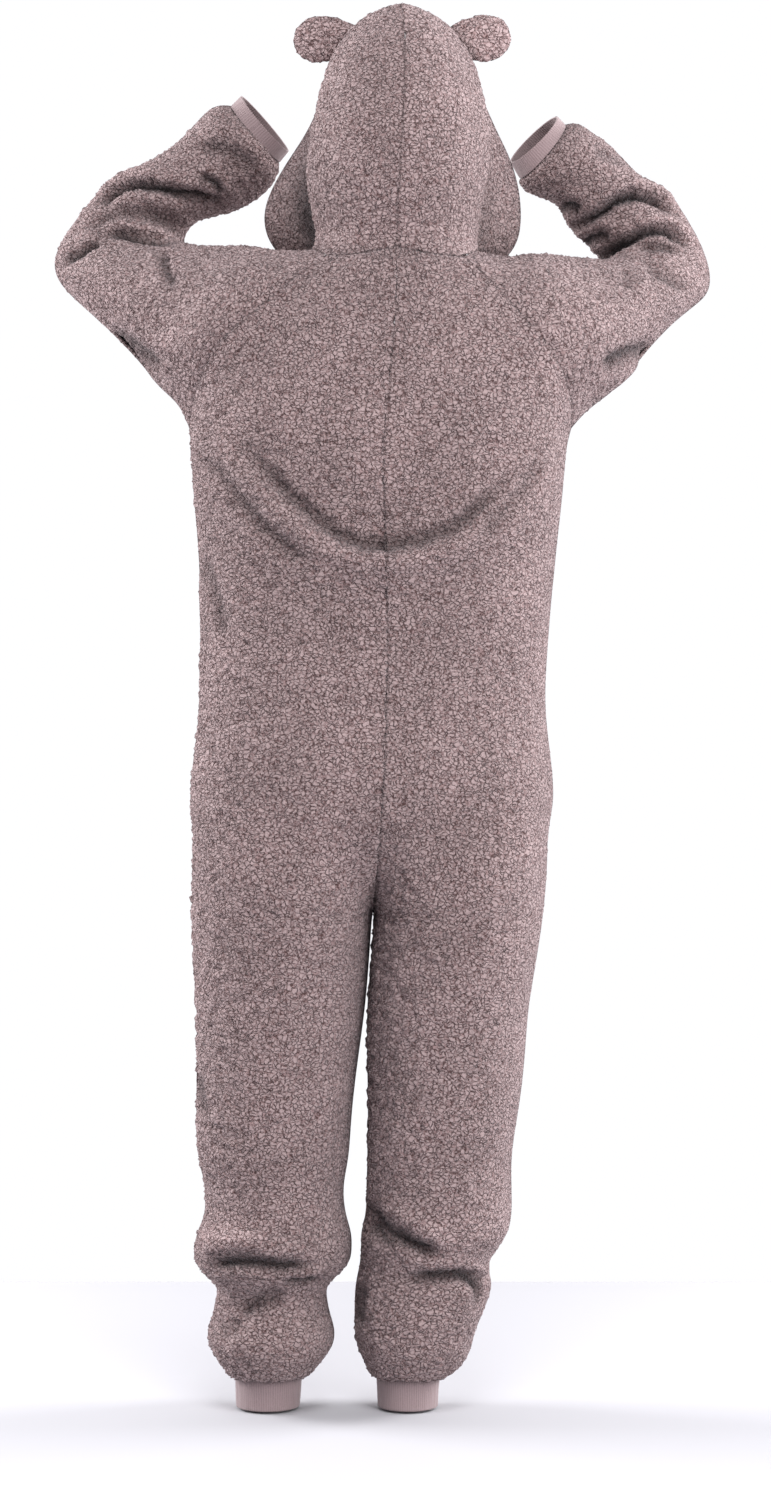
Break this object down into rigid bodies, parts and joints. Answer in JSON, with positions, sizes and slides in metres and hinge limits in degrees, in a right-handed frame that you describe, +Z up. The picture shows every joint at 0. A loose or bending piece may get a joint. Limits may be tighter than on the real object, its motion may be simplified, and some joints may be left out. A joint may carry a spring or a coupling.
{
  "type": "onesie pajama",
  "caption": "Hooded one-piece pajama of pile fleece with round ears, raised raglan sleeves, ribbed cuffs and a front zip, open and hollow as worn",
  "frame": {"origin": "between the shoulders at the base of the neck, where the wearer carries the garment", "axes": "+Z up to the hood, -Y the way the wearer faces, +X to the wearer's left"},
  "size_m": [0.8119, 0.3946, 1.6554],
  "materials": {
    "back_left": "sherpa fleece",
    "back_right": "sherpa fleece",
    "front_left": "sherpa fleece",
    "front_right": "sherpa fleece",
    "sleeve_left": "sherpa fleece",
    "sleeve_right": "sherpa fleece",
    "hood_left": "sherpa fleece",
    "hood_right": "sherpa fleece",
    "ear_back_left": "sherpa fleece",
    "ear_back_right": "sherpa fleece",
    "ear_front_left": "sherpa fleece",
    "ear_front_right": "sherpa fleece",
    "wrist_cuff_left": "rib knit",
    "wrist_cuff_right": "rib knit",
    "ankle_cuff_left": "rib knit",
    "ankle_cuff_right": "rib knit",
    "zip_tape_left": "woven tape",
    "zip_tape_right": "woven tape",
    "zip_slider": "satin",
    "zip_pull": "satin"
  },
  "bodies": {
    "garment": {"back_left": "back_left", "back_right": "back_right", "front_left": "front_left", "front_right": "front_right", "sleeve_left": "sleeve_left", "sleeve_right": "sleeve_right", "hood_left": "hood_left", "hood_right": "hood_right", "ear_back_left": "ear_back_left", "ear_back_right": "ear_back_right", "ear_front_left": "ear_front_left", "ear_front_right": "ear_front_right", "wrist_cuff_left": "wrist_cuff_left", "wrist_cuff_right": "wrist_cuff_right", "ankle_cuff_left": "ankle_cuff_left", "ankle_cuff_right": "ankle_cuff_right", "zip_tape_left": "zip_tape_left", "zip_tape_right": "zip_tape_right", "zip_slider": "zip_slider"},
    "zip_pull": {"zip_pull": "zip_pull"}
  },
  "joints": [
    {"name": "zip_pull_hinge", "type": "hinge", "parent": "garment", "child": "zip_pull", "pos_m": [-0.00617, -0.11205, -0.0748], "axis": [-0.9981, -0.013, -0.0595], "range_deg": [0, 120]}
  ]
}
